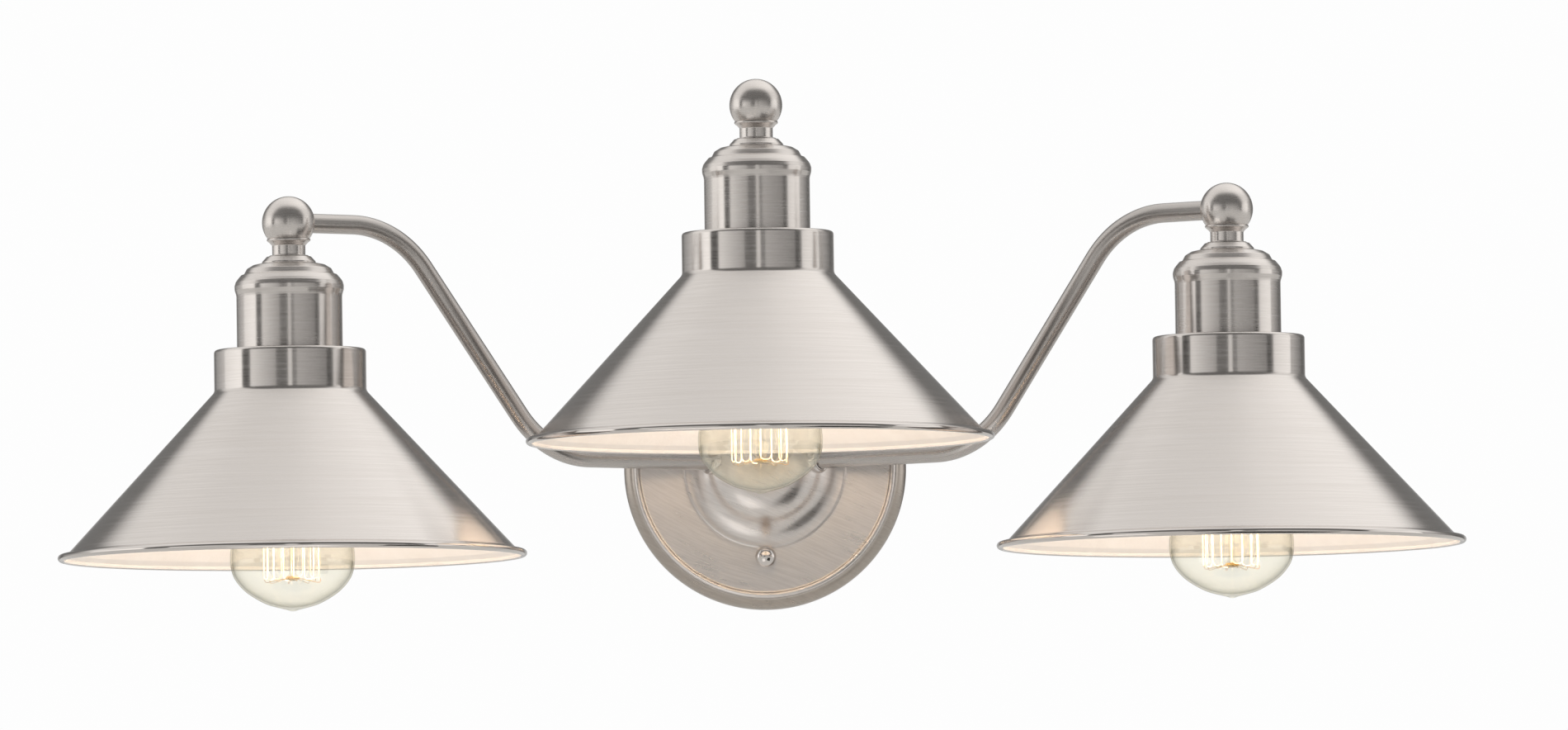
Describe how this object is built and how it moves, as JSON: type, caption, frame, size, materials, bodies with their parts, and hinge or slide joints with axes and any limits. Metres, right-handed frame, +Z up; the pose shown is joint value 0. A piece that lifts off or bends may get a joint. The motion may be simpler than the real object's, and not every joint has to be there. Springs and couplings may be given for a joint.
{
  "type": "vanity light bar",
  "caption": "Wall light bar: a round canopy with bent arms carrying downlight cone shades in brushed nickel, each with a clear cage-filament bulb.",
  "frame": {"origin": "centre of the canopy, on the plane of the wall", "axes": "+Z up, +Y into the wall, -Y out into the room, +X to the right of someone facing the wall"},
  "size_m": [0.6858, 0.2793, 0.2564],
  "materials": {
    "brushed_nickel": "satin nickel plating with a fine brushed grain round each turned piece; the shades are white enamel inside",
    "polished_nickel": "polished nickel plating",
    "zinc_plated_steel": "dull zinc plating",
    "porcelain": "white glaze",
    "brass": "bright, drawn",
    "bulb_glass": "clear blown glass, faintly green",
    "filament": "glowing carbon thread",
    "lead_insulation": "matt insulation",
    "connector_plastic": "moulded, ribbed",
    "ground_green": "green dyed zinc"
  },
  "bodies": {
    "frame": {"canopy": "brushed_nickel", "wall_bracket": "zinc_plated_steel", "mounting_stud_upper": "zinc_plated_steel", "mounting_stud_lower": "zinc_plated_steel", "ground_screw": "ground_green", "wire_nut_line": "connector_plastic", "wire_nut_neutral": "connector_plastic", "arm_centre": "brushed_nickel", "arm_ring_centre": "polished_nickel", "arm_locknut_centre": "zinc_plated_steel", "lead_centre": "lead_insulation", "ball_fitting_centre": "brushed_nickel", "socket_cup_centre": "brushed_nickel", "threaded_nipple_centre": "zinc_plated_steel", "cup_locknut_centre": "zinc_plated_steel", "lamp_holder_centre": "porcelain", "screw_shell_centre": "brass", "socket_contact_centre": "brass", "shade_centre": "brushed_nickel", "arm_left": "brushed_nickel", "arm_ring_left": "polished_nickel", "arm_locknut_left": "zinc_plated_steel", "lead_left": "lead_insulation", "ball_fitting_left": "brushed_nickel", "socket_cup_left": "brushed_nickel", "threaded_nipple_left": "zinc_plated_steel", "cup_locknut_left": "zinc_plated_steel", "lamp_holder_left": "porcelain", "screw_shell_left": "brass", "socket_contact_left": "brass", "shade_left": "brushed_nickel", "arm_right": "brushed_nickel", "arm_ring_right": "polished_nickel", "arm_locknut_right": "zinc_plated_steel", "lead_right": "lead_insulation", "ball_fitting_right": "brushed_nickel", "socket_cup_right": "brushed_nickel", "threaded_nipple_right": "zinc_plated_steel", "cup_locknut_right": "zinc_plated_steel", "lamp_holder_right": "porcelain", "screw_shell_right": "brass", "socket_contact_right": "brass", "shade_right": "brushed_nickel"},
    "bulb_centre": {"bulb_glass_centre": "bulb_glass", "bulb_base_centre": "brass", "bulb_stem_centre": "bulb_glass", "filament_centre": "filament"},
    "bulb_left": {"bulb_glass_left": "bulb_glass", "bulb_base_left": "brass", "bulb_stem_left": "bulb_glass", "filament_left": "filament"},
    "bulb_right": {"bulb_glass_right": "bulb_glass", "bulb_base_right": "brass", "bulb_stem_right": "bulb_glass", "filament_right": "filament"},
    "ring_centre": {"shade_ring_centre": "porcelain"},
    "ring_left": {"shade_ring_left": "porcelain"},
    "ring_right": {"shade_ring_right": "porcelain"},
    "nut_upper": {"cap_nut_upper": "polished_nickel"},
    "nut_lower": {"cap_nut_lower": "polished_nickel"}
  },
  "joints": [
    {"name": "bulb_unscrew_centre", "type": "hinge", "parent": "frame", "child": "bulb_centre", "pos_m": [0, -0.165, 0.076], "axis": [0, 0, -1], "range_deg": [0, 1080]},
    {"name": "bulb_unscrew_left", "type": "hinge", "parent": "frame", "child": "bulb_left", "pos_m": [-0.2286, -0.165, 0.022], "axis": [0, 0, -1], "range_deg": [0, 1080]},
    {"name": "bulb_unscrew_right", "type": "hinge", "parent": "frame", "child": "bulb_right", "pos_m": [0.2286, -0.165, 0.022], "axis": [0, 0, -1], "range_deg": [0, 1080]},
    {"name": "shade_ring_unscrew_centre", "type": "hinge", "parent": "frame", "child": "ring_centre", "pos_m": [0, -0.165, 0.1028], "axis": [0, 0, -1], "range_deg": [0, 720]},
    {"name": "shade_ring_unscrew_left", "type": "hinge", "parent": "frame", "child": "ring_left", "pos_m": [-0.2286, -0.165, 0.0488], "axis": [0, 0, -1], "range_deg": [0, 720]},
    {"name": "shade_ring_unscrew_right", "type": "hinge", "parent": "frame", "child": "ring_right", "pos_m": [0.2286, -0.165, 0.0488], "axis": [0, 0, -1], "range_deg": [0, 720]},
    {"name": "cap_nut_unscrew_upper", "type": "hinge", "parent": "frame", "child": "nut_upper", "pos_m": [0, -0.02, 0.04445], "axis": [0, -1, 0], "range_deg": [0, 1800]},
    {"name": "cap_nut_unscrew_lower", "type": "hinge", "parent": "frame", "child": "nut_lower", "pos_m": [0, -0.02, -0.04445], "axis": [0, -1, 0], "range_deg": [0, 1800]}
  ]
}
